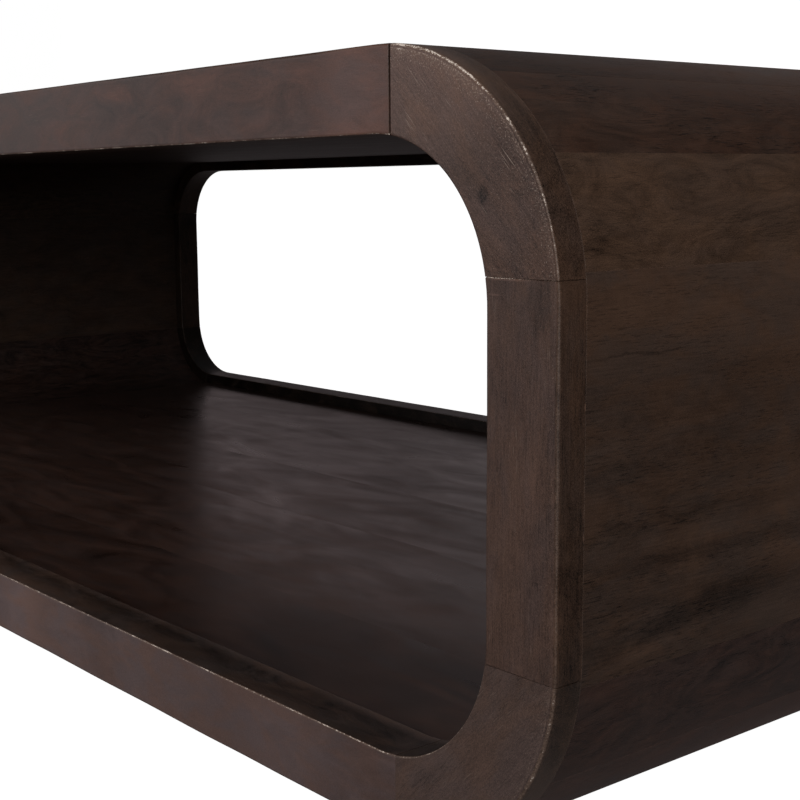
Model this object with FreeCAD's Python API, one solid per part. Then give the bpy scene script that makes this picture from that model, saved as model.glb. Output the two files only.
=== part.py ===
import FreeCAD, Part
import math
import os

# A low coffee table of dark stained solid hardwood. It is a tube with four rounded corners that
# lies on its side, open at the front and at the back.
# A rim of eight pieces runs round each open side. The skin between the rims is edge-glued boards,
# with coopered staves round the corners, and it sits in a rebate cut in the back of each rim.
# Lengths are millimetres and turns are degrees. X runs along the table, Y from the front to the
# back and Z up from the floor. The origin is on the floor under the middle of the table.

# Whole table
length = 1200.0
depth = 600.0
body_height = 300.0
corner_radius = 90.0

# Rim round each open side. The lip turns its corners on a radius smaller by the arc step, and the
# rails and stiles run on past the start of the corner curves.
rim_strip = 13.0
rim_lip = 25.0
top_rail_face = 31.0
base_rail_face = 32.0
stile_face = 33.0
lip_arc_step = 30.0
rail_run_on = 6.0
upper_stile_run_on = 9.0
lower_stile_run_on = 7.0
outer_arris = 1.2
lip_arris = 0.8

# Loose tenons in the end joints of the rim pieces
tenon_thickness = 5.0
tenon_width = 17.0
tenon_length = 40.0
tenon_side_gap = 0.1
tenon_end_gap = 0.8

# Skin between the rims
skin_thickness = 22.0
staves_per_corner = 3
stave_angle = 26.5
upper_lead_angle = 7.2
lower_lead_angle = 6.4
top_board_shares = (0.21, 0.18, 0.22, 0.19, 0.20)
floor_board_shares = (0.19, 0.22, 0.17, 0.23, 0.19)

# Loose splines between the level boards and the corner staves
spline_thickness = 5.0
spline_width = 22.0
spline_side_gap = 0.1
spline_edge_gap = 0.8
spline_stop = 18.0

# Nailed glides under the floor boards, set in from the corner curves and from the open sides
glide_diameter = 22.0
glide_height = 4.0
glide_foot_chamfer = 1.2
glide_curve_inset = 55.0
glide_side_inset = 48.0
nail_diameter = 2.4
nail_length = 13.0
nail_side_gap = 0.1
nail_tip_gap = 1.0

# Cutting tools run past the wood by this much, and edges this near a plane lie in it
overrun = 30.0
tolerance = 0.02

end_x = length / 2
front_y = -depth / 2
base_z = glide_height
top_z = base_z + body_height
skin_front_y = front_y + rim_strip
skin_back_y = -skin_front_y
arc_x = end_x - corner_radius
upper_arc_z = top_z - corner_radius
lower_arc_z = base_z + corner_radius
rail_joint_x = arc_x + rail_run_on
upper_joint_z = upper_arc_z + upper_stile_run_on
lower_joint_z = lower_arc_z - lower_stile_run_on
full_turn = 360.0
reach = 2 * corner_radius
lip_radius = corner_radius - lip_arc_step
upward = FreeCAD.Vector(0, 0, 1)


def point(x, y, z):
    return FreeCAD.Vector(x, y, z)


def export(node, shape):
    """Write one named piece of the table."""
    shape.exportStep(os.path.join("parts", node + ".step"))


def rounded_block(side, bottom, top, radius, near_y, far_y):
    """Block from near_y to far_y with sides at plus and minus side and four round corners."""
    block = box_between(point(-side, near_y, bottom), point(side, far_y, top))
    long_edges = [edge for edge in block.Edges if edge.BoundBox.YLength > (far_y - near_y) / 2]
    return block.makeFillet(radius, long_edges)


def box_between(low, high):
    size = high - low
    return Part.makeBox(size.x, size.y, size.z, low)


def arris_edges(shape, plane_y, keep_inside, side, bottom, top):
    """Edges of shape in the plane at plane_y, either inside or outside the given rectangle."""
    found = []
    for edge in shape.Edges:
        box = edge.BoundBox
        if box.YLength > tolerance or abs(box.YMin - plane_y) > tolerance:
            continue
        inside = (
            box.XMax <= side + tolerance
            and box.XMin >= -side - tolerance
            and box.ZMax <= top + tolerance
            and box.ZMin >= bottom - tolerance
        )
        if inside == keep_inside:
            found.append(edge)
    return found


def whole_rim():
    """Front rim in one piece with chamfered arrises, before it is cut at its joints."""
    strip_y = front_y + rim_strip
    lip_y = front_y + rim_lip
    strip = rounded_block(end_x, base_z, top_z, corner_radius, front_y, strip_y)
    tongue_side = end_x - skin_thickness
    tongue_radius = corner_radius - skin_thickness
    tongue = rounded_block(
        tongue_side, base_z + skin_thickness, top_z - skin_thickness, tongue_radius, front_y, lip_y)
    lip_side = end_x - stile_face
    lip_bottom = base_z + base_rail_face
    lip_top = top_z - top_rail_face
    opening = rounded_block(lip_side, lip_bottom, lip_top, lip_radius, front_y - overrun, lip_y + overrun)
    rim = strip.fuse(tongue).cut(opening).removeSplitter().Solids[0]
    outer = arris_edges(rim, front_y, False, lip_side, lip_bottom, lip_top)
    rim = rim.makeChamfer(outer_arris, outer)
    inner = arris_edges(rim, front_y, True, lip_side, lip_bottom, lip_top)
    inner += arris_edges(rim, lip_y, True, lip_side, lip_bottom, lip_top)
    return rim.makeChamfer(lip_arris, inner)


def rim_regions():
    """Names and boxes that share out the front rim among its eight pieces."""
    near_y = front_y - overrun
    far_y = front_y + rim_lip + overrun
    outer_x = end_x + overrun
    under_z = base_z - overrun
    over_z = top_z + overrun
    middle_z = base_z + body_height / 2
    return (
        ("base_rail", (-rail_joint_x, near_y, under_z), (rail_joint_x, far_y, middle_z)),
        ("top_rail", (-rail_joint_x, near_y, middle_z), (rail_joint_x, far_y, over_z)),
        ("left_stile", (-outer_x, near_y, lower_joint_z), (-rail_joint_x, far_y, upper_joint_z)),
        ("right_stile", (rail_joint_x, near_y, lower_joint_z), (outer_x, far_y, upper_joint_z)),
        ("left_base_corner", (-outer_x, near_y, under_z), (-rail_joint_x, far_y, lower_joint_z)),
        ("right_base_corner", (rail_joint_x, near_y, under_z), (outer_x, far_y, lower_joint_z)),
        ("left_top_corner", (-outer_x, near_y, upper_joint_z), (-rail_joint_x, far_y, over_z)),
        ("right_top_corner", (rail_joint_x, near_y, upper_joint_z), (outer_x, far_y, over_z)),
    )


def rim_tenons(side_gap, end_gap):
    """Flat strip across each of the eight joints of the front rim, or the mortise that takes it."""
    y = front_y + rim_strip / 2
    half_thickness = tenon_thickness / 2 + side_gap
    half_width = tenon_width / 2 + side_gap
    half_length = tenon_length / 2 + end_gap
    level = point(half_length, half_thickness, half_width)
    upright = point(half_width, half_thickness, half_length)
    strips = []
    for side in (-1, 1):
        for z in (base_z + base_rail_face / 2, top_z - top_rail_face / 2):
            middle = point(side * rail_joint_x, y, z)
            strips.append(box_between(middle - level, middle + level))
        for z in (lower_joint_z, upper_joint_z):
            middle = point(side * (end_x - stile_face / 2), y, z)
            strips.append(box_between(middle - upright, middle + upright))
    return strips


def turned_to_back(shape):
    """The same piece at the back, because the table looks the same from both sides."""
    return shape.mirror(point(0, 0, 0), point(0, 1, 0))


def build_rims():
    mortises = Part.makeCompound(rim_tenons(tenon_side_gap, tenon_end_gap))
    rim = whole_rim().cut(mortises)
    for name, low, high in rim_regions():
        piece = rim.common(box_between(point(*low), point(*high)))
        export("front_" + name, piece.Solids[0])
        export("back_" + name, turned_to_back(piece.Solids[0]))
    tenons = Part.makeCompound(rim_tenons(0, 0))
    export("front_rim_tenons", tenons)
    export("back_rim_tenons", turned_to_back(tenons))


def radial_point(centre_x, centre_z, turn, distance, y):
    """Point at a distance from an arc's centre, its turn counted from the level line outwards."""
    side = 1 if centre_x > 0 else -1
    angle = math.radians(turn)
    return point(centre_x + side * distance * math.cos(angle), y, centre_z + distance * math.sin(angle))


def slice_between(first, second):
    """Wedge from one glue line of the skin to the next, each given by its arc's centre and turn."""
    y = skin_front_y - overrun
    (first_x, first_z, first_turn), (second_x, second_z, second_turn) = first, second
    corners = [
        point(first_x, y, first_z),
        radial_point(first_x, first_z, first_turn, reach, y),
        radial_point(second_x, second_z, second_turn, reach, y),
    ]
    if (first_x, first_z) != (second_x, second_z):
        corners.append(point(second_x, y, second_z))
    outline = Part.makePolygon(corners + corners[:1])
    return Part.Face(outline).extrude(point(0, skin_back_y - skin_front_y + 2 * overrun, 0))


def glue_turns(upper):
    """Turns of the glue lines of a corner, from the end of the table to its level boards."""
    lead = upper_lead_angle if upper else lower_lead_angle
    sign = 1 if upper else -1
    return [sign * (lead + number * stave_angle) for number in range(staves_per_corner + 1)]


def spline_block(side, upper, thickness, width, stop):
    """Strip across the glue line between a level board and its corner stave."""
    centre_z = upper_arc_z if upper else lower_arc_z
    turn = glue_turns(upper)[-1]
    middle = radial_point(side * arc_x, centre_z, turn, corner_radius - skin_thickness / 2, 0)
    run = skin_back_y - skin_front_y - 2 * stop
    strip = Part.makeBox(thickness, run, width, point(-thickness / 2, -run / 2, -width / 2))
    strip.rotate(point(0, 0, 0), point(0, 1, 0), -side * turn)
    strip.translate(middle)
    return strip


def board_edges(shares):
    """Front edge and back edge of each board, from the front of the skin to its back."""
    edges = []
    y = skin_front_y
    for share in shares:
        next_y = y + share * (skin_back_y - skin_front_y)
        edges.append((y, next_y))
        y = next_y
    return edges


def glide_places():
    x = arc_x - glide_curve_inset
    y = depth / 2 - glide_side_inset
    return [(place_x, place_y) for place_x in (-x, 0, x) for place_y in (-y, y)]


def glide():
    """Moulded disc with an eased foot, turned in one with the nail that holds it to the floor boards."""
    radius = glide_diameter / 2
    nail_radius = nail_diameter / 2
    tip_z = glide_height + nail_length
    outline = Part.makePolygon([
        point(0, 0, 0),
        point(radius - glide_foot_chamfer, 0, 0),
        point(radius, 0, glide_foot_chamfer),
        point(radius, 0, glide_height),
        point(nail_radius, 0, glide_height),
        point(nail_radius, 0, tip_z),
        point(0, 0, tip_z),
        point(0, 0, 0),
    ])
    return Part.Face(outline).revolve(point(0, 0, 0), upward, full_turn)


def build_skin():
    shell = rounded_block(end_x, base_z, top_z, corner_radius, skin_front_y, skin_back_y)
    hollow = rounded_block(
        end_x - skin_thickness, base_z + skin_thickness, top_z - skin_thickness,
        corner_radius - skin_thickness, skin_front_y - overrun, skin_back_y + overrun)
    grooves = []
    for side_name, side in (("left", -1), ("right", 1)):
        for level_name, upper in (("top", True), ("base", False)):
            strip = spline_block(side, upper, spline_thickness, spline_width, spline_stop)
            export(side_name + "_" + level_name + "_spline", strip)
            grooves.append(spline_block(
                side, upper, spline_thickness + 2 * spline_side_gap,
                spline_width + 2 * spline_edge_gap, spline_stop - spline_edge_gap))
    bores = []
    for x, y in glide_places():
        radius = nail_diameter / 2 + nail_side_gap
        bores.append(Part.makeCylinder(radius, nail_length + nail_tip_gap, point(x, y, base_z), upward))
    skin = shell.cut(hollow).cut(Part.makeCompound(grooves)).cut(Part.makeCompound(bores))

    for side_name, side in (("left", -1), ("right", 1)):
        x = side * arc_x
        end_slice = slice_between(
            (x, lower_arc_z, glue_turns(False)[0]), (x, upper_arc_z, glue_turns(True)[0]))
        export(side_name + "_end_board", skin.common(end_slice).Solids[0])
        for level_name, upper, z in (("top", True, upper_arc_z), ("base", False, lower_arc_z)):
            turns = glue_turns(upper)
            for number in range(staves_per_corner):
                wedge = slice_between((x, z, turns[number]), (x, z, turns[number + 1]))
                name = "%s_%s_stave_%d" % (side_name, level_name, number + 1)
                export(name, skin.common(wedge).Solids[0])

    levels = (
        ("top", upper_arc_z, glue_turns(True)[-1], top_board_shares),
        ("floor", lower_arc_z, glue_turns(False)[-1], floor_board_shares),
    )
    for level_name, z, turn, shares in levels:
        panel = skin.common(slice_between((-arc_x, z, turn), (arc_x, z, turn)))
        for number, (near_y, far_y) in enumerate(board_edges(shares)):
            low = point(-end_x - overrun, near_y, base_z - overrun)
            high = point(end_x + overrun, far_y, top_z + overrun)
            board = panel.common(box_between(low, high))
            export("%s_board_%d" % (level_name, number + 1), board.Solids[0])


def build_glides():
    one = glide()
    glides = []
    for x, y in glide_places():
        copy = one.copy()
        copy.translate(point(x, y, 0))
        glides.append(copy)
    export("base_glides", Part.makeCompound(glides))


os.makedirs("parts", exist_ok=True)
build_rims()
build_skin()
build_glides()
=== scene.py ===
import math

import bmesh
import bpy
from mathutils import Matrix, Vector, noise


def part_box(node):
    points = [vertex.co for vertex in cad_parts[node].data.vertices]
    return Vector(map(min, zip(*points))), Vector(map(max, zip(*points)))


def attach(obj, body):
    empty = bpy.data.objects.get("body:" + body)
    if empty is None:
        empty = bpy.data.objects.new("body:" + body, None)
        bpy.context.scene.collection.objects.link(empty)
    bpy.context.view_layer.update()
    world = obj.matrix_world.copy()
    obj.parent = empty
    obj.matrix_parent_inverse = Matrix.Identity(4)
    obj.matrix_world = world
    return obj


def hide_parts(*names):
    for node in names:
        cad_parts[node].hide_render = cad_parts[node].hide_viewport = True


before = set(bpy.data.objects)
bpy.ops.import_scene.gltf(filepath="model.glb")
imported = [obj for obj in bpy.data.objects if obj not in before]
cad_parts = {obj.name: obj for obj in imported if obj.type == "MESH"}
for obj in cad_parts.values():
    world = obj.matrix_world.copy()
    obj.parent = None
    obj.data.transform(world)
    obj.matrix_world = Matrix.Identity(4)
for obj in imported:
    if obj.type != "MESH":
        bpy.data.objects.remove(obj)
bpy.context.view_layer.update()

scene = bpy.context.scene
scene.view_settings.view_transform = "Standard"


# Rims: rails, stiles and corner blocks
# Each open side has a rim of eight pieces sawn from solid acacia: two rails, two stiles and four
# curved corner blocks, planed, sanded and stained dark before they are glued on loose tenons.
# Their arrises are eased by hand, and the lacquer and stain are rubbed through along them.

mm = 0.001
top_rail_low, top_rail_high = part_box("front_top_rail")
base_rail_low, base_rail_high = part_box("front_base_rail")
stile_low, stile_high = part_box("front_right_stile")
end_x = stile_high.x
front_y = top_rail_low.y
top_z = top_rail_high.z
base_z = base_rail_low.z
rail_joint_x = top_rail_high.x
upper_joint_z = stile_high.z
lower_joint_z = stile_low.z
top_rail_face = top_rail_high.z - top_rail_low.z
base_rail_face = base_rail_high.z - base_rail_low.z
stile_face = stile_high.x - stile_low.x
corner_radius = 90 * mm
lip_radius = 60 * mm
skin_thickness = 22 * mm
# The rim shows as a strip outside, up to the glue line of the skin, and as a deeper lip inside
rim_strip = 13 * mm
rim_lip = 25 * mm


def hex_colour(text):
    """Linear colour of an sRGB hex value."""
    channels = [int(text[i:i + 2], 16) / 255 for i in (1, 3, 5)]
    return [c / 12.92 if c <= 0.04045 else ((c + 0.055) / 1.055) ** 2.4 for c in channels] + [1.0]


def empty_tree(owner):
    """Node tree of a material or a world, without the nodes that it starts with."""
    owner.use_nodes = True
    owner.node_tree.nodes.clear()
    return owner.node_tree


def add(tree, kind, inputs=(), **settings):
    """One node with its settings. Its inputs come in order, or by name or number in a dictionary,
    each as a value or as what feeds it: a socket, or a node, which stands for its first output."""
    node = tree.nodes.new(kind)
    for key, value in settings.items():
        setattr(node, key, value)
    for key, value in inputs.items() if isinstance(inputs, dict) else enumerate(inputs):
        if isinstance(value, bpy.types.Node):
            value = value.outputs[0]
        if isinstance(value, bpy.types.NodeSocket):
            tree.links.new(value, node.inputs[key])
        else:
            node.inputs[key].default_value = value
    return node


def cells(tree, source, along, across, detail=2.0, rough=0.5, bend=0.0, fade=None):
    """Noise with cells of these sizes in millimetres along and across the grain. It runs from about
    0.3 to 0.7, and a fade turns what lies between its first two numbers into 0 to 1, or into what
    lies between its next two."""
    scale = (1 / (along * mm), 1 / (across * mm), 1 / (across * mm))
    scaled = add(tree, "ShaderNodeVectorMath", (source, scale), operation="MULTIPLY")
    pattern = add(tree, "ShaderNodeTexNoise", {
        "Vector": scaled, "Scale": 1.0, "Detail": detail, "Roughness": rough, "Distortion": bend})
    if fade:
        pattern = add(tree, "ShaderNodeMapRange", (pattern, *fade), interpolation_type="SMOOTHSTEP")
    return pattern


# A mark is full inside the first share of its half sizes and gone at the second. The mottles tear
# its outline, and it wanders up and down, but a scratch or a chip, which isn't so deep, is clean.
mark_core, mark_edge = 0.3, 1.1
mark_raggedness = 1.2
mark_wander = 5 * mm
clean_mark_depth = 5


def marked(tree, shade, place, mottles, marks):
    """Shade with its darker and paler spots and streaks. Each mark has a centre and half sizes in
    millimetres, a rise along the depth, and a strength, which is below zero where it is darker."""
    wander = cells(tree, place, 30, 16, detail=3.0, rough=0.6)
    wander = add(tree, "ShaderNodeMath", (wander, mark_wander, -mark_wander / 2),
                 operation="MULTIPLY_ADD")
    wander = add(tree, "ShaderNodeCombineXYZ", {"Z": wander})
    wavy_place = add(tree, "ShaderNodeVectorMath", (place, wander), operation="ADD")
    for centre, half_sizes, rise, strength in marks:
        ragged = half_sizes[1] > clean_mark_depth
        middle = tuple(c * mm for c in centre)
        offset = add(tree, "ShaderNodeVectorMath", (wavy_place if ragged else place, middle),
                     operation="SUBTRACT")
        if rise:
            depth = add(tree, "ShaderNodeSeparateXYZ", (offset,)).outputs["Y"]
            lift = add(tree, "ShaderNodeMath", (depth, rise), operation="MULTIPLY")
            lift = add(tree, "ShaderNodeCombineXYZ", {"Z": lift})
            offset = add(tree, "ShaderNodeVectorMath", (offset, lift), operation="SUBTRACT")
        scale = tuple(1 / (half * mm) for half in half_sizes)
        offset = add(tree, "ShaderNodeVectorMath", (offset, scale), operation="MULTIPLY")
        share = add(tree, "ShaderNodeVectorMath", (offset,), operation="LENGTH").outputs["Value"]
        if ragged:
            torn = add(tree, "ShaderNodeMath", (mottles, mark_raggedness, -mark_raggedness / 2),
                       operation="MULTIPLY_ADD")
            share = add(tree, "ShaderNodeMath", (share, torn), operation="ADD")
        spot = add(tree, "ShaderNodeMapRange", (share, mark_core, mark_edge, strength, 0.0),
                   interpolation_type="SMOOTHSTEP")
        shade = add(tree, "ShaderNodeMath", (shade, spot), operation="ADD")
    return shade


# The tone attribute is near zero on a rim's face and below it on the strip outside and on the lip,
# so a fade between these two tells the face from the rest
off_face_tone, face_tone = -0.1, -0.03


def dusty(tree, colour, grain, place, tone, strength):
    """Colour with pale sanding hairs, and with dust that gathers near the arrises. Both stay on the
    face. Real hairs are a tenth of a millimetre wide, and drawn three times that to show."""
    hairs = cells(tree, grain, 9, 0.3, detail=1.0, fade=(0.66, 0.76))
    tufts = cells(tree, grain, 28, 9, fade=(0.5, 0.68))
    hairs = add(tree, "ShaderNodeMath", (hairs, tufts), operation="MULTIPLY")
    rub = add(tree, "ShaderNodeAttribute", attribute_name="rubbed").outputs["Fac"]
    dust = cells(tree, place, 0.6, 0.6, detail=1.0)
    dust = add(tree, "ShaderNodeMath", (rub, 0.26, dust), operation="MULTIPLY_ADD")
    dust = add(tree, "ShaderNodeMapRange", (dust, 0.64, 0.76), interpolation_type="SMOOTHSTEP")
    cover = add(tree, "ShaderNodeMath", (rub, 1.8, 0.35), operation="MULTIPLY_ADD")
    dust = add(tree, "ShaderNodeMath", (dust, cover), operation="MULTIPLY")
    pale = add(tree, "ShaderNodeMath", (hairs, dust), operation="MAXIMUM")
    pale = add(tree, "ShaderNodeMath", (pale, strength), operation="MULTIPLY")
    on_face = add(tree, "ShaderNodeMapRange", (tone, off_face_tone, face_tone),
                  interpolation_type="SMOOTHSTEP")
    pale = add(tree, "ShaderNodeMath", (pale, on_face), operation="MULTIPLY")
    return add(tree, "ShaderNodeMix", {0: pale, 6: colour, 7: hex_colour("#ab998c")},
               data_type="RGBA").outputs[2]


def rubbed_through(tree, colour, rough, height, place, tone):
    """Colour, roughness and height with bare wood where an arris is rubbed. Runs a few millimetres
    long and fine flecks break it up, and thinned stain surrounds it. Off the face all is yellower."""
    rub = add(tree, "ShaderNodeAttribute", attribute_name="rubbed").outputs["Fac"]
    broken = rub
    for size, detail, strength in ((7, 3.0, 2.2), (0.7, 2.0, 2.4)):
        swing = cells(tree, place, size, size, detail=detail, rough=0.6)
        swing = add(tree, "ShaderNodeMath", (swing, 0.5), operation="SUBTRACT")
        reach = add(tree, "ShaderNodeMath", (rub, strength), operation="MULTIPLY")
        swing = add(tree, "ShaderNodeMath", (swing, reach), operation="MULTIPLY")
        broken = add(tree, "ShaderNodeMath", (broken, swing), operation="ADD")
    off_face = add(tree, "ShaderNodeMapRange", (tone, off_face_tone, face_tone, 1.0, 0.0),
                   interpolation_type="SMOOTHSTEP")
    thinned = add(tree, "ShaderNodeMapRange", (broken, 0.12, 0.6, 0.0, 0.4),
                  interpolation_type="SMOOTHSTEP")
    bare = add(tree, "ShaderNodeMapRange", (broken, 0.55, 0.85), interpolation_type="SMOOTHSTEP")
    for share, tint, blend in (
        (off_face, "#fffbec", "MULTIPLY"), (thinned, "#7c675b", "MIX"), (bare, "#d0c2b6", "MIX"),
    ):
        colour = add(tree, "ShaderNodeMix", {0: share, 6: colour, 7: hex_colour(tint)},
                     data_type="RGBA", blend_type=blend).outputs[2]
    rough = add(tree, "ShaderNodeMath", (bare, 0.15, rough), operation="MULTIPLY_ADD")
    height = add(tree, "ShaderNodeMath", (bare, -0.5, height), operation="MULTIPLY_ADD")
    return colour, rough, height


# No shade of the stain is darker than this share of its colour
darkest_shade = 0.08
# Fibres and pores stand this far out of the lacquer or sink into it
relief = 0.16 * mm
# Lacquer bends light as most resins do. Its matting agent takes away more than half of its shine,
# and the mottles make its roughness swing
lacquer_ior = 1.48
lacquer_shine = 0.2
gloss_swing = 0.3


def stained_wood(
    name, warm, cool, mottle, fibre, specks, pores, hairs=0.0, swirl=0.25, worn=False,
    roughness=0.46, figure=(46, 19), fine=0.8, sunk=0.0, marks=(),
):
    """Acacia, stained and lacquered or raw. The eye sees two browns, warm and cool, that drift into
    each other under cloudy mottles, fine lengthwise fibres, specks of dust, short dark pores and
    pale hairs, each with its own strength, and bare wood along the arrises where it is worn.

    The figure is the length and width of a mottle in millimetres, bent by the swirl and as full of
    small detail as fine says. Where the lacquer has sunk in, its roughness is greater by that much.
    The wood reads three attributes: grain holds metres along, across and into the board, tone makes
    it paler or darker, and also carries painted shade on the lips and inner faces, and rubbed says
    how much an arris has worn. Real fibres, pores and specks are a tenth of a millimetre wide or
    less. They are drawn about 0.4 to 0.8 mm wide, to show.
    """
    material = bpy.data.materials.new(name)
    tree = empty_tree(material)
    grain = add(tree, "ShaderNodeAttribute", attribute_name="grain").outputs["Vector"]
    tone = add(tree, "ShaderNodeAttribute", attribute_name="tone").outputs["Fac"]
    place = add(tree, "ShaderNodeTexCoord").outputs["Object"]

    drift = cells(tree, grain, 31, 15, detail=5.0, rough=0.62, bend=0.4, fade=(0.37, 0.63))
    mottles = cells(tree, grain, *figure, detail=7.0, rough=fine, bend=swirl * 2)
    fibres = cells(tree, grain, 15, 0.8, detail=3.0, rough=0.6, bend=swirl)
    speckle = cells(tree, grain, 0.6, 0.35, detail=1.0)
    pore_lines = cells(tree, grain, 5.5, 0.45, detail=1.0, bend=0.1, fade=(0.58, 0.68))
    pore_rows = cells(tree, grain, 60, 14, fade=(0.38, 0.58))
    dashes = add(tree, "ShaderNodeMath", (pore_lines, pore_rows), operation="MULTIPLY")

    colour = add(tree, "ShaderNodeMix", {0: drift, 6: hex_colour(cool), 7: hex_colour(warm)},
                 data_type="RGBA").outputs[2]
    shade = add(tree, "ShaderNodeMath", (tone, 1.0), operation="ADD")
    for pattern, strength in ((mottles, mottle), (fibres, fibre), (speckle, specks)):
        # Half the strength comes off, so that the pattern swings about zero
        swing = add(tree, "ShaderNodeMath", (pattern, strength, -strength / 2),
                    operation="MULTIPLY_ADD")
        shade = add(tree, "ShaderNodeMath", (shade, swing), operation="ADD")
    shade = add(tree, "ShaderNodeMath", (dashes, -pores, shade), operation="MULTIPLY_ADD")
    if marks:
        shade = marked(tree, shade, place, mottles, marks)
    shade = add(tree, "ShaderNodeMath", (shade, darkest_shade), operation="MAXIMUM")
    colour = add(tree, "ShaderNodeMix", {0: 1.0, 6: colour, 7: shade},
                 data_type="RGBA", blend_type="MULTIPLY").outputs[2]

    uneven_gloss = add(tree, "ShaderNodeMath", (mottles, gloss_swing, -gloss_swing / 2),
                       operation="MULTIPLY_ADD")
    rough = add(tree, "ShaderNodeMath", (roughness, uneven_gloss), operation="ADD")
    if sunk:
        dull = cells(tree, grain, figure[0] * 0.8, figure[1] * 1.3, detail=3.0, rough=0.6, bend=0.6,
                     fade=(0.3, 0.7, sunk, 0.0))
        rough = add(tree, "ShaderNodeMath", (rough, dull), operation="ADD")
    height = add(tree, "ShaderNodeMath", (dashes, -2.0 * pores), operation="MULTIPLY")
    for pattern, strength in ((fibres, min(fibre, 0.4)), (speckle, min(specks, 0.5))):
        height = add(tree, "ShaderNodeMath", (pattern, strength, height), operation="MULTIPLY_ADD")

    if hairs:
        colour = dusty(tree, colour, grain, place, tone, hairs)
    if worn:
        colour, rough, height = rubbed_through(tree, colour, rough, height, place, tone)
    bump = add(tree, "ShaderNodeBump", {"Strength": 0.6, "Distance": relief, "Height": height})
    shader = add(tree, "ShaderNodeBsdfPrincipled", {
        "Base Color": colour, "Roughness": rough, "Normal": bump,
        "IOR": lacquer_ior, "Specular IOR Level": lacquer_shine})
    add(tree, "ShaderNodeOutputMaterial", {"Surface": shader})
    return material


# The top rail is flat sawn and sanded fine, so it has strong soft clouds, close and swirled, and
# hardly a fibre or pore. Its right end, next to the joint, is paler: a warm patch with a painted
# sheen over it.
top_rail_wood = stained_wood(
    "dark stained top rail wood", "#45302a", "#3f302d", mottle=3.2, fibre=0.15, specks=0.8,
    pores=0.0, hairs=0.12, swirl=0.5, worn=True, figure=(30, 15), fine=0.76, marks=[
        # paler end by the joint: a warm patch and a painted sheen
        ((499, -300, 287), (32, 9, 60), 0, 0.72),
        ((300, -300, 296), (120, 9, 40), 0, 0.12),
        ((345, -300, 290), (55, 9, 32), 0, -0.2),
        ((455, -300, 288), (34, 9, 40), 0, 0.12)])
# The base rail is a paler and greyer board with fainter clouds. It pales from its right end toward
# its middle, and three of its clouds stand out. The paling and part of the grey are painted sheen.
base_rail_wood = stained_wood(
    "dark stained base rail wood", "#4c3b36", "#483c3b", mottle=1.9, fibre=0.15, specks=0.7,
    pores=0.0, swirl=0.5, worn=True, figure=(30, 15), fine=0.76, marks=[
        # paler toward the middle: painted sheen
        ((20, -300, 20), (480, 20, 90), 0, 0.55),
        ((441, -300, 18), (40, 9, 40), 0, 0.2),
        ((276, -300, 18), (24, 9, 40), 0, -0.2),
        ((188, -300, 20), (32, 9, 40), 0, 0.22)])
# The stiles are straight grained, so fibres and pores run up them. The right one has a smudge and
# two scratches under its upper joint, chips and pale runs along the glue line outside, and a darker
# strip below them.
stile_wood = stained_wood(
    "dark stained stile wood", "#46342c", "#43342f", mottle=1.3, fibre=0.8, specks=1.2, pores=0.3,
    hairs=0.2, swirl=0.35, worn=True, marks=[
        ((591, -300, 214), (7, 8, 12), 0, -0.2),
        ((577, -300, 222.6), (12, 3, 0.5), 0, 0.8),
        ((570.5, -300, 217.3), (4.5, 3, 0.45), 0, 0.5),
        ((600, -287.2, 181), (2, 0.5, 1.7), 0, 1.3),
        ((600, -287.2, 213), (2, 0.4, 7), 0, 0.5),
        ((600, -287.2, 146), (2, 0.4, 8), 0, 0.4),
        ((600, -287.2, 137), (2, 0.5, 2), 0, 1.4),
        ((600, -293, 90), (9, 9, 60), 0, -0.42)])
# The top corner blocks are sawn across their curve, so short grain shows: coarse fibres, specks
# and many pale hairs. The right one has a small dark knot by a smudge, and a painted sheen that
# grows toward the rail.
top_corner_wood = stained_wood(
    "dark stained top corner wood", "#47352d", "#43342f", mottle=2.0, fibre=1.0, specks=1.8,
    pores=0.2, hairs=0.6, swirl=0.6, worn=True, marks=[
        ((564.5, -300, 250.4), (3.2, 4, 4.6), 0, -0.6),
        # paler toward the rail: painted sheen
        ((534, -300, 294), (56, 9, 36), 0, 0.72),
        ((575, -300, 263), (9, 8, 10), 0, -0.2)])
# The base corner blocks are of calmer wood, sawn alike. The right one's outside strip is darker.
base_corner_wood = stained_wood(
    "dark stained base corner wood", "#46362f", "#433632", mottle=1.4, fibre=0.4, specks=1.3,
    pores=0.2, hairs=0.2, swirl=0.5, worn=True, marks=[((600, -293, 76), (14, 9, 56), 0, -0.4)])


# A station is the rim's section at one place along it, seen from the open side: the points of its
# outer face, of the tongue under the skin and of its lip, each with the way that it faces.


def arc_station(sign_x, sign_z, share, gap):
    """Station of a corner block, this share of the way from its rail joint to its stile joint."""
    face = top_rail_face if sign_z > 0 else base_rail_face
    joint_z = upper_joint_z if sign_z > 0 else lower_joint_z
    edge_z = top_z if sign_z > 0 else base_z
    centre = Vector((end_x - corner_radius, edge_z - sign_z * corner_radius))
    lip_centre = Vector((end_x - stile_face - lip_radius, edge_z - sign_z * (face + lip_radius)))
    flip = Vector((sign_x, 1))
    rows = []
    for radius, middle, side in (
        (corner_radius, centre, 1), (corner_radius - skin_thickness, centre, 1),
        (lip_radius, lip_centre, -1),
    ):
        first = math.acos((rail_joint_x + gap - middle.x) / radius)
        last = math.asin(sign_z * (joint_z + sign_z * gap - middle.y) / radius)
        turn = first + (last - first) * share
        away = Vector((math.cos(turn), sign_z * math.sin(turn)))
        rows.append(((middle + away * radius) * flip, away * side * flip))
    return rows


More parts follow.
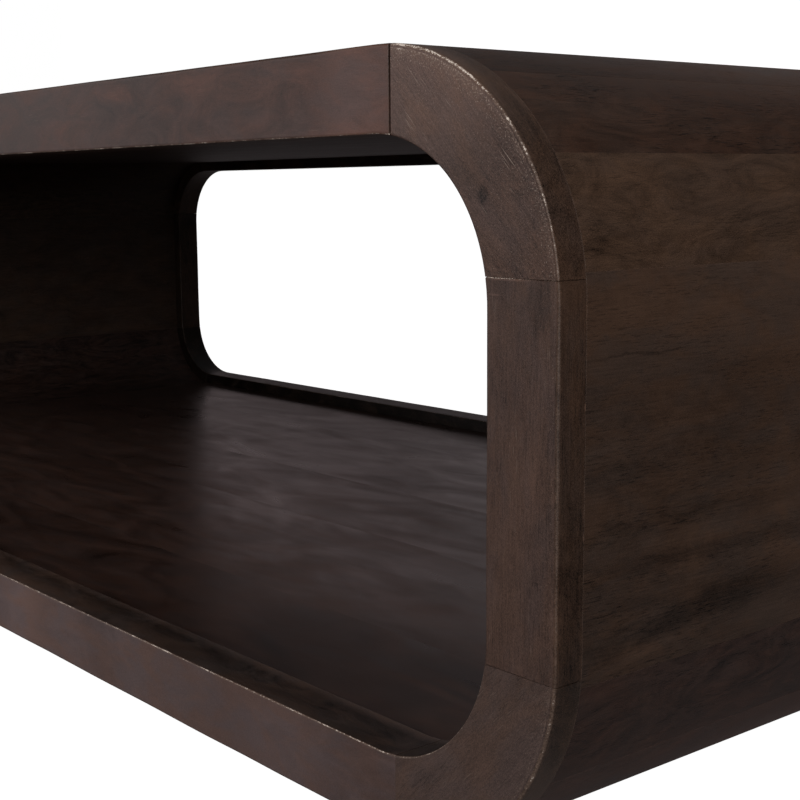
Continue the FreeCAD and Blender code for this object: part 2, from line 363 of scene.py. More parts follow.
def level_station(sign_z, x):
    """Station of a rail at this x. Past the straight its outer face and lip follow their curves."""
    edge_z = top_z if sign_z > 0 else base_z
    face = top_rail_face if sign_z > 0 else base_rail_face
    arc_x = end_x - corner_radius
    rows = []
    for depth, radius, arc_start, side in (
        (0, corner_radius, arc_x, 1), (skin_thickness, corner_radius - skin_thickness, arc_x, 1),
        (face, lip_radius, end_x - stile_face - lip_radius, -1),
    ):
        past = max(abs(x) - arc_start, 0)
        drop = radius - math.sqrt(radius ** 2 - past ** 2)
        level_share = math.sqrt(1 - (past / radius) ** 2)
        away = Vector((math.copysign(past / radius, x), sign_z * level_share))
        rows.append((Vector((x, edge_z - sign_z * (depth + drop))), away * side))
    return rows


def upright_station(sign_x, z):
    """Station of a stile at this z. Past the straight its outer face and lip follow their curves."""
    arc_low, arc_high = base_z + corner_radius, top_z - corner_radius
    lip_low, lip_high = base_z + base_rail_face + lip_radius, top_z - top_rail_face - lip_radius
    rows = []
    for depth, radius, low, high, side in (
        (0, corner_radius, arc_low, arc_high, 1),
        (skin_thickness, corner_radius - skin_thickness, arc_low, arc_high, 1),
        (stile_face, lip_radius, lip_low, lip_high, -1),
    ):
        past = max(z - high, 0) + min(z - low, 0)
        drop = radius - math.sqrt(radius ** 2 - past ** 2)
        away = Vector((sign_x * math.sqrt(1 - (past / radius) ** 2), past / radius))
        rows.append((Vector((sign_x * (end_x - depth - drop), z)), away * side))
    return rows


arris_steps = 4
arris_turns = [math.pi / 2 * step / arris_steps for step in range(arris_steps + 1)]
# The strip outside is darker than the face, and rubbed a little along its seam with the skin. A row
# of points on the strip and one on the lip keep the rub near their edges.
strip_tone = -0.15
seam_rub, seam_fade = 0.3, 0.8 * mm
strip_row, lip_row = 5 * mm, 7 * mm
# The lip's back arris has this share of its front one's rub, and the outer part of the face has
# this share of the glue line's
back_arris_share = 0.8
outside_glue_share = 0.3
# How the rub fades on each side of an arris: millimetres from it, and the share of the arris's rub
outer_face_fade = ((0.5, 0.6), (1.4, 0.42), (3.2, 0.3), (8, 0.1))
strip_fade, strip_fade_share = 1.2 * mm, 0.12
lip_face_fade = ((7, 0.0), (2.6, 0.04), (1.1, 0.15), (0.4, 0.3))
lip_inside_fade = ((0.5, 0.1), (1.6, 0.04), (6, 0.0))


def section(station, y_side, inset, outer_arris, lip_arris, outer_rub, lip_rub, lip_painted_shade, back_arris_painted_shade,
            joint_tone, joint_rub):
    """Ring round the rim's section as (point, y, rubbed, tone): over the outer arris, the face, the
    lip and its back arris, along the rebate under the skin, and back on the strip outside."""
    (outer, out), (tongue, out_t), (lip, out_l) = station
    outer, tongue, lip = outer - out * inset, tongue - out_t * inset, lip - out_l * inset
    across = (lip - outer).normalized()
    ring = []
    for turn in arris_turns:
        side = outer_arris * (1 - math.cos(turn))
        back = outer_arris * (1 - math.sin(turn))
        tone = strip_tone if turn < arris_turns[-1] else 0.0
        ring.append((outer + across * side, inset + back, outer_rub * math.sin(2 * turn), tone))
    for away, share in outer_face_fade:
        rub = outer_rub * share + joint_rub * outside_glue_share
        ring.append((outer + across * (outer_arris + away * mm), inset, rub, 0.0))
    for away, share in lip_face_fade:
        rub = lip_rub * share + joint_rub
        ring.append((lip - across * (lip_arris + away * mm), inset, rub, 0.0))
    for step, turn in enumerate(arris_turns):
        side = lip_arris * (1 - math.sin(turn))
        back = lip_arris * (1 - math.cos(turn))
        # The lip's tone is painted shade. It comes in over the lip's arris and holds down the lip, and
        # the back arris takes a painted shade of its own
        tone = lip_painted_shade * step / arris_steps
        ring.append((lip - across * side, inset + back, lip_rub * math.sin(2 * turn), tone))
    for away, share in lip_inside_fade:
        ring.append((lip, inset + lip_arris + away * mm, lip_rub * share, lip_painted_shade))
    ring.append((lip, rim_lip - lip_row, 0.0, lip_painted_shade))
    for turn in arris_turns:
        side = lip_arris * (1 - math.cos(turn))
        back = lip_arris * math.sin(turn)
        rub = lip_rub * back_arris_share * math.sin(2 * turn)
        ring.append((lip - across * side, rim_lip - inset - lip_arris + back, rub, back_arris_painted_shade))
    ring += [
        (tongue, rim_lip - inset, 0.0, lip_painted_shade),
        (tongue, rim_strip - inset, 0.0, lip_painted_shade),
        (outer, rim_strip - inset, seam_rub, strip_tone),
        (outer, rim_strip - inset - seam_fade, 0.0, strip_tone),
        (outer, strip_row, 0.0, strip_tone),
        (outer, inset + outer_arris + strip_fade, outer_rub * strip_fade_share, strip_tone),
    ]
    return [(point, y_side * (depth + front_y), rub, tone + joint_tone)
            for point, depth, rub, tone in ring]


rim_sharp_angle = math.radians(28)


def closed_mesh(name, rings, grain_of, tone, material):
    """Piece made of a row of rings with a flat end at each side, and its wood attributes."""
    count = len(rings[0])
    bm = bmesh.new()
    rows = []
    rubbed = []
    tones = []
    for ring in rings:
        rows.append([bm.verts.new((p.x, y, p.y)) for p, y, _, _ in ring])
        rubbed += [rub for _, _, rub, _ in ring]
        tones += [tone + local for _, _, _, local in ring]
    for first, second in zip(rows, rows[1:]):
        for i in range(count):
            j = (i + 1) % count
            bm.faces.new((first[i], first[j], second[j], second[i]))
    ends = [bm.faces.new(rows[0]), bm.faces.new(rows[-1])]
    bmesh.ops.triangulate(bm, faces=ends)
    bmesh.ops.recalc_face_normals(bm, faces=bm.faces)
    mesh = bpy.data.meshes.new(name)
    bm.to_mesh(mesh)
    bm.free()
    mesh.shade_smooth()
    mesh.set_sharp_from_angle(angle=rim_sharp_angle)
    grain = [value for vertex in mesh.vertices for value in grain_of(vertex.co)]
    mesh.attributes.new("grain", "FLOAT_VECTOR", "POINT").data.foreach_set("vector", grain)
    mesh.attributes.new("tone", "FLOAT", "POINT").data.foreach_set("value", tones)
    mesh.attributes.new("rubbed", "FLOAT", "POINT").data.foreach_set("value", rubbed)
    mesh.materials.append(material)
    piece = bpy.data.objects.new(name, mesh)
    scene.collection.objects.link(piece)
    return piece


# An arris is eased by hand, so its width wanders over these lengths, by up to this share
outer_arris_width, outer_arris_wander = 1.2 * mm, 35 * mm
lip_arris_width, lip_arris_wander = 0.8 * mm, 50 * mm
arris_unevenness = 0.55


def uneven(spot, length):
    """Share by which an arris is wider or narrower here than it is on average."""
    return 1 + arris_unevenness * noise.noise(Vector(spot) / length)


# The top rail's joints stand open by a millimetre and the other joints are shut. The ends of each
# piece are eased, which leaves a fine groove at a joint.
open_gap = 0.55 * mm
shut_gap = 0.05 * mm
end_ease = 0.25 * mm
rail_steps, stile_steps, corner_steps = 150, 34, 56


def eased_places(low, high, count):
    """Places from one end of a straight piece to the other, each with its inset."""
    run = high - low - 2 * end_ease
    between = [(low + end_ease + run * i / count, 0) for i in range(1, count)]
    return [(low, end_ease), (low + end_ease, 0), *between, (high - end_ease, 0), (high, end_ease)]


def stations_of(shape, sign_x, sign_z):
    """Stations of one rim piece from joint to joint, each with its inset."""
    rail_gap = open_gap if sign_z > 0 else shut_gap
    if shape == "rail":
        end = rail_joint_x - rail_gap
        places = eased_places(-end, end, rail_steps)
        return [(level_station(sign_z, x), inset) for x, inset in places]
    if shape == "stile":
        places = eased_places(lower_joint_z + shut_gap, upper_joint_z - shut_gap, stile_steps)
        return [(upright_station(sign_x, z), inset) for z, inset in places]
    ease_share = end_ease / (corner_radius * math.pi / 2)
    shares = [(0, end_ease), (ease_share, 0)]
    shares += [(i / corner_steps, 0) for i in range(1, corner_steps)]
    shares += [(1 - ease_share, 0), (1, end_ease)]
    return [
        (arc_station(sign_x, sign_z, share, rail_gap + (shut_gap - rail_gap) * share), inset)
        for share, inset in shares]


# Hands rub a corner block more the higher they hold it, by this share at its top. An open joint is
# dark inside, and dried glue makes a pale line of the upper joint between stile and corner block.
grip_share = 0.65
open_joint_tone = -0.9
glue_line_rub = 0.95
glue_line_reach = 1 * mm
# The back arris of a front lip is hardly darker than the face: a painted highlight along that edge
# beside the lip's painted shade
front_back_arris_painted_highlight = -0.1
rim_pieces = (
    # name, shape, side, level, material, outer rub, lip rub, tone
    ("top_rail", "rail", 0, 1, top_rail_wood, 0.12, 0.6, 0.0),
    ("base_rail", "rail", 0, -1, base_rail_wood, 0.15, 0.62, 0.0),
    ("left_stile", "stile", -1, 0, stile_wood, 0.32, 0.25, 0.0),
    ("right_stile", "stile", 1, 0, stile_wood, 0.32, 0.2, 0.0),
    ("left_base_corner", "corner", -1, -1, base_corner_wood, 0.32, 0.4, 0.0),
    ("right_base_corner", "corner", 1, -1, base_corner_wood, 0.5, 0.5, 0.05),
    ("left_top_corner", "corner", -1, 1, top_corner_wood, 0.5, 0.2, 0.04),
    ("right_top_corner", "corner", 1, 1, top_corner_wood, 0.5, 0.15, 0.04),
)
# The lips are darker the lower they lie and darker still on the back rim: painted shade inside the
# table, where little light reaches
lip_painted_shades = {
    ("front", 1): -0.25, ("front", 0): -0.5, ("front", -1): -0.66,
    ("back", 1): -0.3, ("back", 0): -0.6, ("back", -1): -0.88,
}
for y_side, side_name in ((1, "front"), (-1, "back")):
    for number, rim_piece in enumerate(rim_pieces):
        name, shape, sign_x, sign_z, material, outer_rub, lip_rub, tone = rim_piece
        lip_painted_shade = lip_painted_shades[side_name, sign_z]
        back_arris_painted_shade = front_back_arris_painted_highlight if side_name == "front" else lip_painted_shade
        rings = []
        for station, inset in stations_of(shape, sign_x, sign_z):
            spot = (station[0][0].x, y_side * front_y, station[0][0].y)
            outer_arris = outer_arris_width * uneven(spot, outer_arris_wander)
            lip_arris = lip_arris_width * uneven(spot, lip_arris_wander)
            height = max(0.0, (spot[2] - upper_joint_z) / (top_z - upper_joint_z))
            grip = 1 + grip_share * height ** 2 if shape == "corner" else 1
            at_open_joint = inset > 0 and sign_z > 0 and abs(spot[0]) < rail_joint_x + 2 * open_gap
            at_glue_line = (
                inset > 0 and y_side > 0 and abs(spot[2] - upper_joint_z) < glue_line_reach)
            rings.append(section(
                station, y_side, inset, outer_arris, lip_arris, outer_rub * grip, lip_rub, lip_painted_shade,
                back_arris_painted_shade, open_joint_tone if at_open_joint else 0.0,
                glue_line_rub if at_glue_line else 0.0))
        # The grain runs along a rail, up a stile and slantwise through a corner block, and each
        # piece is shifted to a figure of its own
        turn = {"rail": 0.0, "stile": math.pi / 2, "corner": -math.pi / 4 * sign_x * sign_z}[shape]
        along = Vector((math.cos(turn), 0, math.sin(turn)))
        across = Vector((-math.sin(turn), 0, math.cos(turn)))
        shift = Vector((0.37 * number, 0.21 * number, 0.5 * y_side))
        piece = closed_mesh(
            "wood_" + side_name + "_" + name, rings,
            lambda p: Vector((p.dot(along), p.dot(across), p.y)) + shift, tone, material)
        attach(piece, "root")
        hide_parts(side_name + "_" + name)


# Skin: end boards, corner staves and level boards
# The skin is solid acacia boards glued edge to edge: level boards above and below, an end board
# at each end, and three coopered staves round each corner, planed round after the glue had set.
# A length of board is bent to the outline of the table, and its seams show as hairlines.

# The outline starts at the middle of the base and goes round by the right end. It passes the first
# corner twice, because the floor boards lie across its start.
outline_steps = 40
outline = [(0, 0, base_z)]
for sign_x, sign_z, first_angle in ((1, -1, -90), (1, 1, 0), (-1, 1, 90), (-1, -1, 180), (1, -1, -90)):
    arc_x = sign_x * (end_x - corner_radius)
    arc_z = top_z - corner_radius if sign_z > 0 else base_z + corner_radius
    for step in range(outline_steps + 1):
        turn = math.radians(first_angle + 90 * step / outline_steps)
        outline.append((
            arc_x + corner_radius * math.cos(turn), 0, arc_z + corner_radius * math.sin(turn)))
guide_curve = bpy.data.curves.new("outline", "CURVE")
guide_curve.dimensions = "3D"
spline = guide_curve.splines.new("POLY")
spline.points.add(len(outline) - 1)
for point, place in zip(spline.points, outline):
    point.co = (*place, 1)
guide = bpy.data.objects.new("outline", guide_curve)
scene.collection.objects.link(guide)


def bent_board_tree():
    """Board bent to the outline, from one length along it to another and from front to back. Its
    outer face lies on the outline, and its tone changes from its outer to its inner face."""
    tree = bpy.data.node_groups.new("Bent board", "GeometryNodeTree")
    for label, kind in (
        ("Geometry", "Geometry"), ("Outline", "Object"), ("Start", "Float"), ("End", "Float"),
        ("Front", "Float"), ("Back", "Float"), ("Thickness", "Float"), ("Steps", "Int"),
        ("Along Outline", "Bool"), ("Figure Place", "Vector"), ("Tone", "Float"),
        ("Inside Tone And Shade", "Float"), ("Wood", "Material"),
    ):
        tree.interface.new_socket(label, in_out="INPUT", socket_type="NodeSocket" + kind)
    tree.interface.new_socket("Geometry", in_out="OUTPUT", socket_type="NodeSocketGeometry")
    given = add(tree, "NodeGroupInput").outputs
    # A blank one metre each way, from -0.5 to 0.5, whose places are spread over the board's sizes
    blank = add(tree, "GeometryNodeMeshCube", {
        "Size": (1.0, 1.0, 1.0), "Vertices X": given["Steps"], "Vertices Y": 2, "Vertices Z": 2})
    place = add(tree, "ShaderNodeSeparateXYZ", (add(tree, "GeometryNodeInputPosition"),)).outputs
    length = add(tree, "ShaderNodeMapRange", (place["X"], -0.5, 0.5, given["Start"], given["End"]))
    depth = add(tree, "ShaderNodeMapRange", (place["Y"], -0.5, 0.5, given["Front"], given["Back"]))
    inwards = add(tree, "ShaderNodeMapRange", (place["Z"], -0.5, 0.5, given["Thickness"], 0.0))
    # The inner face takes the inside tone, which on the staves and end boards is painted shade
    tone = add(tree, "ShaderNodeMapRange", (
        place["Z"], -0.5, 0.5, given["Inside Tone And Shade"], given["Tone"]))

    path = add(tree, "GeometryNodeObjectInfo", {"Object": given["Outline"]}).outputs["Geometry"]
    sample = add(tree, "GeometryNodeSampleCurve", {"Curves": path, "Length": length}, mode="LENGTH")
    outwards = add(tree, "ShaderNodeVectorMath", ((0.0, 1.0, 0.0), sample.outputs["Tangent"]),
                   operation="CROSS_PRODUCT")
    outwards = add(tree, "ShaderNodeVectorMath", (outwards,), operation="NORMALIZE")
    inset = add(tree, "ShaderNodeMath", (inwards, -1.0), operation="MULTIPLY")
    moved = add(tree, "ShaderNodeVectorMath", {0: outwards, "Scale": inset}, operation="SCALE")
    moved = add(tree, "ShaderNodeVectorMath", (sample.outputs["Position"], moved))
    moved = add(tree, "ShaderNodeVectorMath", (
        moved, add(tree, "ShaderNodeCombineXYZ", {"Y": depth})))

    lengthwise = add(tree, "ShaderNodeCombineXYZ", (length, depth, inwards))
    crosswise = add(tree, "ShaderNodeCombineXYZ", (depth, length, inwards))
    grain = add(tree, "GeometryNodeSwitch", {
        "Switch": given["Along Outline"], "False": crosswise, "True": lengthwise,
    }, input_type="VECTOR")
    grain = add(tree, "ShaderNodeVectorMath", (grain, given["Figure Place"]))
    board = add(tree, "GeometryNodeStoreNamedAttribute", {
        "Geometry": blank, "Name": "grain", "Value": grain,
    }, data_type="FLOAT_VECTOR", domain="POINT")
    board = add(tree, "GeometryNodeStoreNamedAttribute", {
        "Geometry": board, "Name": "tone", "Value": tone}, data_type="FLOAT", domain="POINT")
    board = add(tree, "GeometryNodeSetPosition", {"Geometry": board, "Position": moved})
    board = add(tree, "GeometryNodeRealizeInstances", {"Geometry": board})
    board = add(tree, "GeometryNodeSetMaterial", {"Geometry": board, "Material": given["Wood"]})
    add(tree, "NodeGroupOutput", (board,))
    return tree


bent_board = bent_board_tree()
# The seams' edges are eased: by hand between the staves, and hardly at all between level boards
open_seam = 0.1 * mm
tight_seam = 0.03 * mm
eased_edge_angle = math.radians(50)
skin_sharp_angle = math.radians(40)
fewest_steps = 4


def skin_piece(node, start, end, front, back, wood, tones, place, along_outline, step, seam_ease):
    """One board of the skin, made plain mesh, in the place of its CAD node. Its start and end are
    lengths along the outline, its front and back are depths, and its tones are outside, inside."""
    carrier = bpy.data.objects.new("carrier", bpy.data.meshes.new("carrier"))
    scene.collection.objects.link(carrier)
    modifier = carrier.modifiers.new("Bent board", "NODES")
    modifier.node_group = bent_board
    sockets = {s.name: s.identifier for s in bent_board.interface.items_tree if s.in_out == "INPUT"}
    for label, value in (
        ("Outline", guide), ("Start", start), ("End", end), ("Front", front), ("Back", back),
        ("Thickness", skin_thickness), ("Steps", max(fewest_steps, int((end - start) / step))),
        ("Along Outline", along_outline), ("Figure Place", place), ("Tone", tones[0]),
        ("Inside Tone And Shade", tones[1]), ("Wood", wood),
    ):
        modifier[sockets[label]] = value
    bevel = carrier.modifiers.new("Seam ease", "BEVEL")
    bevel.width = seam_ease
    bevel.segments = 1
    bevel.limit_method = "ANGLE"
    bevel.angle_limit = eased_edge_angle
    graph = bpy.context.evaluated_depsgraph_get()
    mesh = bpy.data.meshes.new_from_object(carrier.evaluated_get(graph))
    mesh.name = "wood_" + node
    bpy.data.objects.remove(carrier)
    mesh.shade_smooth()
    mesh.set_sharp_from_angle(angle=skin_sharp_angle)
    piece = bpy.data.objects.new("wood_" + node, mesh)
    scene.collection.objects.link(piece)
    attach(piece, "root")
    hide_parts(node)


# The end boards' grain runs from the front to the back, with open pores and clear fibres. The right
# one is paler above and at its middle and darker below. A fine crack opens at its front, and dark
# and pale streaks follow each other down the board, the lowest of them rising to the back.
end_wood = stained_wood(
    "dark stained end board wood", "#3f2e24", "#3a2d26", mottle=1.6, fibre=0.8, specks=0.7,
    pores=0.4, roughness=0.5, marks=[
        ((600, -150, 222), (12, 260, 44), 0, 0.5),
        ((600, -262, 196.3), (9, 36, 0.8), 0, -0.4),
        ((600, -195, 188), (9, 50, 4), 0, -0.14),
        ((600, -255, 165), (9, 22, 16), 0, -0.15),
        ((600, -170, 136.5), (9, 140, 5), 0, -0.24),
        ((600, -235, 128.5), (9, 55, 3.5), 0, 0.15),
        ((600, -170, 121.5), (9, 140, 4.5), 0, -0.3),
        ((600, -240, 113.5), (9, 60, 6), 0, 0.13),
        ((600, -215, 101.5), (9, 95, 8), 0.1, -0.34),
        ((600, -243, 92.5), (9, 45, 3.5), 0.13, 0.3),
        ((600, -190, 91), (9, 32, 5), 0, 0.12),
        ((600, -200, 90), (12, 250, 46), 0, -0.14),
        ((600, -155, 130), (12, 60, 100), 0, 0.24)])
# The second and third stave of a top corner are planed round across their figure, which gives
# bent clouds and open pores. On the right they are paler about the middle of their length, a
# painted sheen.
stave_wood = stained_wood(
    "dark stained stave wood", "#402c22", "#3c2c24", mottle=2.2, fibre=0.4, specks=1.0, pores=0.5,
    # paler middle on the right: painted sheen
    swirl=0.9, roughness=0.5, marks=[((530, -60, 298), (60, 190, 22), 0, 0.6)])
# The first stave above an end board has the wildest figure, with strong swirls and specks, and the
# right one a dark spot at its front.
swirled_wood = stained_wood(
    "dark stained swirled stave wood", "#402f24", "#3d2e25", mottle=2.8, fibre=0.6, specks=1.8,
    pores=0.3, swirl=1.6, roughness=0.5, marks=[((596, -281, 233), (8, 7, 8), 0, -0.4)])
# The base staves are redder, with soft swirls, and the right ones pale toward their middle in a
# painted sheen.
low_stave_wood = stained_wood(
    "dark stained base stave wood", "#402d26", "#3c2d28", mottle=2.4, fibre=0.3, specks=0.8,
    # paler middle of the right ones: painted sheen
    pores=0.3, swirl=1.1, roughness=0.5, marks=[((570, -110, 14), (60, 130, 26), 0, 0.9)])
# The floor boards are sanded smooth and lacquered glossier than the rest, so they mirror the room
# softly, duller in patches where the lacquer sank in. One patch near the front is darker, a
# painted shade behind the front lip.
level_wood = stained_wood(
    "dark stained level board wood", "#3a2923", "#352824", mottle=1.8, fibre=0.1, specks=0.0,
    pores=0.0, swirl=0.8, roughness=0.3, figure=(110, 40), fine=0.5, sunk=0.08,
    # darker patch behind the front lip: painted shade
    marks=[((400, -215, 26), (120, 70, 14), 0, -0.4)])
# The top boards are satin, with a long narrow figure and a few fibres and pores.
top_board_wood = stained_wood(
    "dark stained top board wood", "#3b2924", "#362825", mottle=1.6, fibre=0.25, specks=0.3,
    pores=0.2, swirl=0.4, roughness=0.48, figure=(130, 22))

straight_x = end_x - corner_radius
straight_z = top_z - base_z - 2 * corner_radius
quarter = corner_radius * math.pi / 2
# Degrees round a corner from the end board's side to the first glue line, at the top and at the
# base, and from there to each of the next
first_seam_angle = {1: 7.2, -1: 6.4}
stave_angle = 26.5


def arc_length(degrees):
    """Length along the outline of this much of a corner."""
    return corner_radius * math.radians(degrees)


# Lengths along the outline at which a corner's curve meets the straight of an end board, and at the
# middle of the top and of the base
right_low = straight_x + quarter
right_high = right_low + straight_z
top_middle = right_high + quarter + straight_x
left_high = right_high + quarter + 2 * straight_x + quarter
left_low = left_high + straight_z
base_middle = left_low + quarter + straight_x
springings = {
    (1, -1): right_low, (1, 1): right_high,
    (-1, -1): left_low, (-1, 1): left_high,
}


def seam(side, level, number):
    """Length along the outline at a corner's glue line, counted from 0 at the end board."""
    turned = arc_length(first_seam_angle[level] + number * stave_angle)
    return springings[side, level] + side * level * turned


skin_front_y = front_y + rim_strip
skin_back_y = -skin_front_y
# The inner faces are darker: painted shade inside the table, where little light reaches
stave_tones = {1: (0.26, -0.12, -0.34), -1: (-0.34, -0.06, 0.06)}
end_board_tones = {1: 0.0, -1: -0.15}
inside_painted_shades = {1: -0.3, 0: -0.3, -1: -0.5}
stave_step, end_board_step, level_board_step = 2 * mm, 3 * mm, 6 * mm

for side_name, side in (("right", 1), ("left", -1)):
    for level_name, level in (("base", -1), ("top", 1)):
        for number, tone in enumerate(stave_tones[level], 1):
            start, end = sorted((seam(side, level, number - 1), seam(side, level, number)))
            wood = swirled_wood if number == 1 else stave_wood
            if level < 0:
                wood = low_stave_wood
            figure_place = (0.4 * number + 1.3 * side, 0.33 * number, 0.7 * level)
            skin_piece(
                "%s_%s_stave_%d" % (side_name, level_name, number), start, end, skin_front_y,
                skin_back_y, wood, (tone, inside_painted_shades[level]), figure_place, False, stave_step,
                open_seam)
    start, end = sorted((seam(side, -1, 0), seam(side, 1, 0)))
    skin_piece(
        side_name + "_end_board", start, end, skin_front_y, skin_back_y, end_wood,
        (end_board_tones[side], inside_painted_shades[0]), (0.2 * side, 0.9, 0.1), False, end_board_step,
        open_seam)

# Each board has a tone of its own. The third and fourth are palest, which on the floor is painted
# light where the light falls on its middle
board_tones_and_painted_light_pool = (-0.06, 0.04, 0.12, 0.12, 0.0)
for level_name, level, middle, wood in (
    ("floor", -1, base_middle, level_wood), ("top", 1, top_middle, top_board_wood),
):
    reach = straight_x + arc_length(90 - first_seam_angle[level] - 3 * stave_angle)
    for number, tone in enumerate(board_tones_and_painted_light_pool, 1):
        node = "%s_board_%d" % (level_name, number)
        low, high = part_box(node)
        figure_place = (0.6 * number, 0.23 * number, 0.4 * level)
        skin_piece(
            node, middle - reach, middle + reach, low.y, high.y, wood, (tone, tone), figure_place,
            True, level_board_step, tight_seam)
bpy.data.objects.remove(guide)


# Tenons, splines and glides
# Loose tenons and splines of the same wood hold the joints from inside, glued in their mortises.
# Six moulded nylon glides are nailed under the floor boards.

# Raw acacia is honey brown and dull, with a faint figure, because no stain or lacquer reaches it.
raw_wood = stained_wood(
    "raw acacia", "#ad8a62", "#a08766", mottle=0.5, fibre=0.3, specks=0.4, pores=0.3, roughness=0.7)

# Black nylon comes from a spark-eroded mould, so it is satin, with a fine even grit of about
# 0.05 mm, drawn as 0.4 mm to show.
glide_nylon = bpy.data.materials.new("moulded black nylon")
tree = empty_tree(glide_nylon)
nylon_grit = add(tree, "ShaderNodeTexNoise", {
    "Vector": add(tree, "ShaderNodeTexCoord").outputs["Object"], "Scale": 1 / (0.4 * mm)})
nylon_colour = add(tree, "ShaderNodeMix", {
    0: nylon_grit, 6: hex_colour("#1a1919"), 7: hex_colour("#242322")}, data_type="RGBA").outputs[2]
nylon_bump = add(tree, "ShaderNodeBump", {
    "Strength": 0.2, "Distance": 0.02 * mm, "Height": nylon_grit})
nylon_shader = add(tree, "ShaderNodeBsdfPrincipled", {
    "Base Color": nylon_colour, "Roughness": 0.5, "IOR": 1.53, "Normal": nylon_bump})
add(tree, "ShaderNodeOutputMaterial", {"Surface": nylon_shader})

for node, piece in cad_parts.items():
    for place in piece.material_slots:
        if "tenons" in node or "spline" in node:
            place.material = raw_wood
        elif "glides" in node:
            place.material = glide_nylon


# Floor, backdrop and light
# The table stands on a white floor before a white wall, both white to the camera. Softboxes light
# it from the front left, from high in front, from the right and faintly from overhead. Two black
# cards lie and stand on the right, unseen by the camera, and keep the end of the table dark.

# The wall's glow changes between these heights
glow_low_z, glow_high_z = 1.15, 2.0


def stage_white(name, paint_shade, mirror_glow, mirror_top=1.0):
    """Matt paint that looks white to the camera and glows a little in reflections, a touch pink. Up
    the wall that glow changes by the factor mirror_top. The shade is for the light it bounces."""
    material = bpy.data.materials.new(name)
    tree = empty_tree(material)
    path = add(tree, "ShaderNodeLightPath").outputs
    seen = add(tree, "ShaderNodeMath", (path["Is Camera Ray"], path["Is Transmission Ray"]),
               operation="MAXIMUM")
    place = add(tree, "ShaderNodeTexCoord").outputs["Object"]
    height = add(tree, "ShaderNodeSeparateXYZ", (place,)).outputs["Z"]
    mirrored = add(tree, "ShaderNodeMapRange", (
        height, glow_low_z, glow_high_z, mirror_glow, mirror_glow * mirror_top,
    ), interpolation_type="SMOOTHSTEP")
    glow = add(tree, "ShaderNodeMath", (path["Is Glossy Ray"], mirrored, seen),
               operation="MULTIPLY_ADD")
    tint = add(tree, "ShaderNodeMix", {
        0: path["Is Glossy Ray"], 6: hex_colour("#ffffff"), 7: hex_colour("#ffe6e8"),
    }, data_type="RGBA").outputs[2]
    paint = add(tree, "ShaderNodeBsdfDiffuse", {"Color": hex_colour(paint_shade)})
    light = add(tree, "ShaderNodeEmission", {"Color": tint, "Strength": glow})
    both = add(tree, "ShaderNodeAddShader", (paint, light))
    add(tree, "ShaderNodeOutputMaterial", {"Surface": both})
    return material


def stage_plane(name, corners, material):
    """Flat sheet of the stage, which isn't part of the object."""
    mesh = bpy.data.meshes.new(name)
    mesh.from_pydata(corners, [], [range(len(corners))])
    mesh.materials.append(material)
    plane = bpy.data.objects.new(name, mesh)
    scene.collection.objects.link(plane)
    return plane


def upright_sheet(start, end, low, high):
    """Corners of an upright sheet over the line between two places on the floor."""
    return [(*start, low), (*end, low), (*end, high), (*start, high)]


# The wall is in two parts. The left one, which only the floor inside mirrors, glows near its top.
floor_reach = 9
wall_y = 4.5
wall_break_x = -4.8
wall_end_x = -0.5
left_wall_height = 3.2
right_wall_height = 5
stage_plane(
    "backdrop_left",
    upright_sheet((-floor_reach, wall_y), (wall_break_x, wall_y), 0, left_wall_height),
    stage_white("white backdrop, lit at its top", "#8c8c8c", 0.02, 27.0))
stage_plane(
    "backdrop_right",
    upright_sheet((wall_break_x, wall_y), (wall_end_x, wall_y), 0, right_wall_height),
    stage_white("white backdrop", "#e6e6e6", 0.34, 0.3))
stage_plane(
    "floor", [(x * floor_reach, y * floor_reach, 0) for x, y in ((-1, -1), (1, -1), (1, 1), (-1, 1))],
    stage_white("white floor", "#8c8c8c", 0.07))

# Black card is matt and returns little light.
black_card = bpy.data.materials.new("black card")
tree = empty_tree(black_card)
card_shader = add(tree, "ShaderNodeBsdfPrincipled", {
    "Base Color": hex_colour("#0c0c0c"), "Roughness": 1.0, "Specular IOR Level": 0.0})
add(tree, "ShaderNodeOutputMaterial", {"Surface": card_shader})
card_left_x, card_right_x = 0.8, 2.2
card_front_y, card_back_y = -0.25, 4
card_low_z, card_high_z = 0.002, 1.6
flat_card = [
    (card_left_x, card_front_y, card_low_z), (card_left_x, card_back_y, card_low_z),
    (card_right_x, card_back_y, card_low_z), (card_right_x, card_front_y, card_low_z)]
upright_card = upright_sheet(
    (card_right_x, card_front_y), (card_right_x, card_back_y), card_low_z, card_high_z)
for card_name, corners in (("card_flat", flat_card), ("card_upright", upright_card)):
    card = stage_plane(card_name, corners, black_card)
    card.visible_camera = False
    card.visible_shadow = False


def softbox(name, place, target, width, height, power, colour="#ffffff"):
    """Rectangular lamp at a place, turned to its target."""
    data = bpy.data.lights.new(name, "AREA")
    data.shape = "RECTANGLE"
    data.size, data.size_y = width, height
    data.energy = power
    data.color = hex_colour(colour)[:3]
    lamp = bpy.data.objects.new(name, data)
    lamp.location = place
    lamp.rotation_euler = (Vector(target) - Vector(place)).to_track_quat("-Z", "Y").to_euler()
    scene.collection.objects.link(lamp)


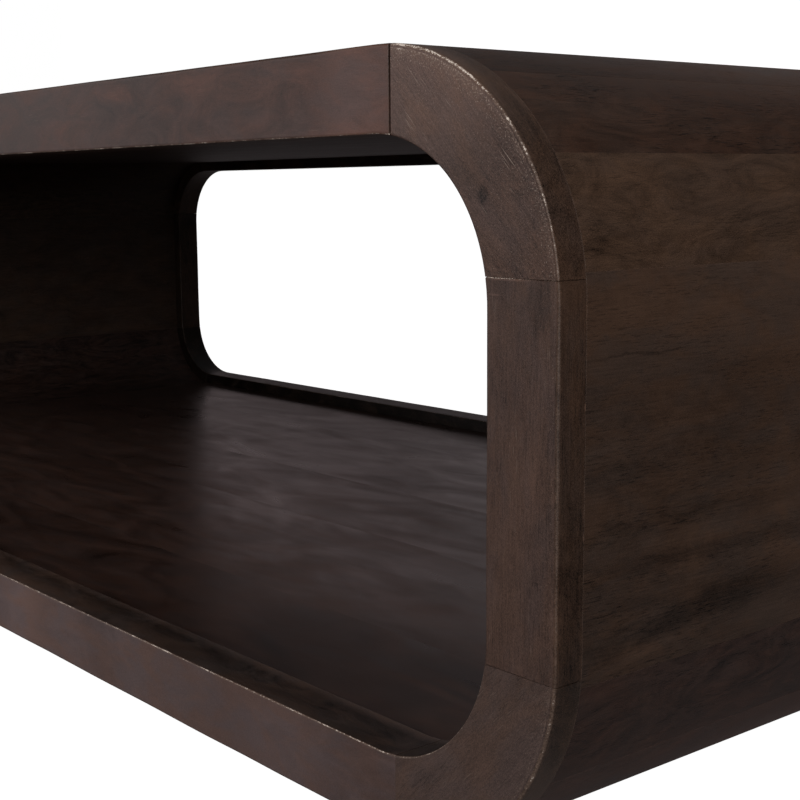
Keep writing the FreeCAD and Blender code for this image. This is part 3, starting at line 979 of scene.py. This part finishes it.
softbox("front softbox", place=(-2.4, -2.4, 1.2), target=(0, 0, 0.2),
        width=3.2, height=2.0, power=36, colour="#fff6f4")
softbox("high softbox", place=(0.8, -2.6, 2.6), target=(0.2, 0, 0.2),
        width=2.0, height=1.4, power=24)
softbox("right softbox", place=(2.6, -2.2, 1.0), target=(0.5, 0, 0.2),
        width=1.4, height=1.4, power=58)
softbox("overhead softbox", place=(0.0, 0.3, 2.6), target=(0, 0, 0.2),
        width=3.0, height=2.0, power=4)

# The dim room beyond the stage is white to the camera only
room_light = 0.05
room_mirror_light = 0.04
world = bpy.data.worlds.new("studio")
scene.world = world
tree = empty_tree(world)
path = add(tree, "ShaderNodeLightPath").outputs
room_level = add(tree, "ShaderNodeMapRange", (
    path["Is Glossy Ray"], 0.0, 1.0, room_light, room_mirror_light))
room = add(tree, "ShaderNodeBackground", {"Color": hex_colour("#f6f9ff"), "Strength": room_level})
white = add(tree, "ShaderNodeBackground", {"Color": hex_colour("#ffffff"), "Strength": 1.0})
mixed = add(tree, "ShaderNodeMixShader", (path["Is Camera Ray"], room, white))
add(tree, "ShaderNodeOutputWorld", {"Surface": mixed})


# Camera
# A near view with a long lens, from beyond the right front corner and just below the level of the
# top, so the frame cuts off the left end. Sizes in pixels are of the photograph, 800 pixels wide.

frame_width = 800
focal_pixels = 1441.45
centre_x, centre_y = 357.15, 425.18
camera_place = (0.92043, -0.63723, 0.25411)
yaw, pitch, roll = math.radians(51.5829), math.radians(9.4518), math.radians(0.7155)
sensor_width = 36
camera_data = bpy.data.cameras.new("camera")
camera_data.sensor_width = sensor_width
camera_data.lens = focal_pixels / frame_width * sensor_width
camera_data.shift_x = (frame_width / 2 - centre_x) / frame_width
camera_data.shift_y = (centre_y - frame_width / 2) / frame_width
camera = bpy.data.objects.new("camera", camera_data)
camera.matrix_world = (
    Matrix.Translation(camera_place)
    @ Matrix.Rotation(yaw, 4, "Z")
    @ Matrix.Rotation(math.pi / 2 - pitch, 4, "X")
    @ Matrix.Rotation(-roll, 4, "Z")
)
scene.collection.objects.link(camera)
scene.camera = camera
